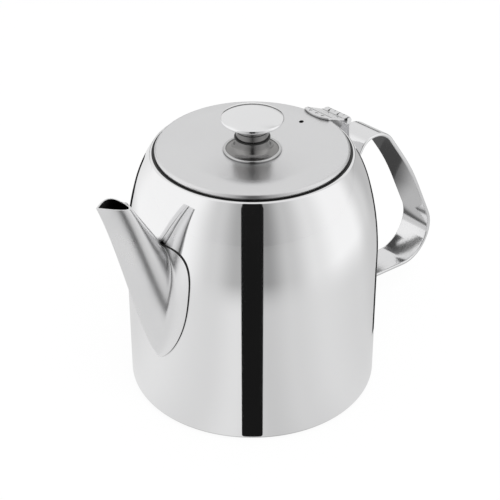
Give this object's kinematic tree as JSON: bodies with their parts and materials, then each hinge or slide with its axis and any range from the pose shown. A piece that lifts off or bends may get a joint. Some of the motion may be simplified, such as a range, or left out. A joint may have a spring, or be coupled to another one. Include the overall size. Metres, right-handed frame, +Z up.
{
  "type": "teapot",
  "caption": "Straight-sided steel teapot with a pointed pressed spout, a flat strap handle and a hinged lid with a mushroom knob, for brewing and pouring tea.",
  "frame": {"origin": "centre of the flat base, on the surface that the pot stands on", "axes": "+Z up along the pot's axis, +X towards the handle and the lid hinge, -X towards the spout"},
  "size_m": [0.2515, 0.14, 0.1667],
  "materials": {
    "polished_steel": "mirror polished stainless steel",
    "pressed_steel": "polished pressed stainless steel sheet",
    "strap_steel": "polished stainless steel strap",
    "hinge_steel": "bright stainless steel",
    "lid_steel": "satin polished stainless steel",
    "knob_steel": "turned and polished stainless steel",
    "black_spacer": "black heat-resistant plastic"
  },
  "bodies": {
    "pot": {"body_shell": "polished_steel", "spout_near_half": "pressed_steel", "spout_far_half": "pressed_steel", "handle_strap": "strap_steel", "hinge_bracket": "hinge_steel", "hinge_pin": "hinge_steel"},
    "lid": {"lid_cover": "lid_steel", "lid_locating_ring": "lid_steel", "lid_hinge_leaf": "hinge_steel", "knob_base": "knob_steel", "knob_spacer": "black_spacer", "knob_neck": "knob_steel", "knob_cap": "knob_steel", "knob_screw": "hinge_steel", "knob_washer": "hinge_steel"}
  },
  "joints": [
    {"name": "lid_hinge", "type": "hinge", "parent": "pot", "child": "lid", "pos_m": [0.0665, 0, 0.1398], "axis": [0, 1, 0], "range_deg": [0, 100]}
  ]
}
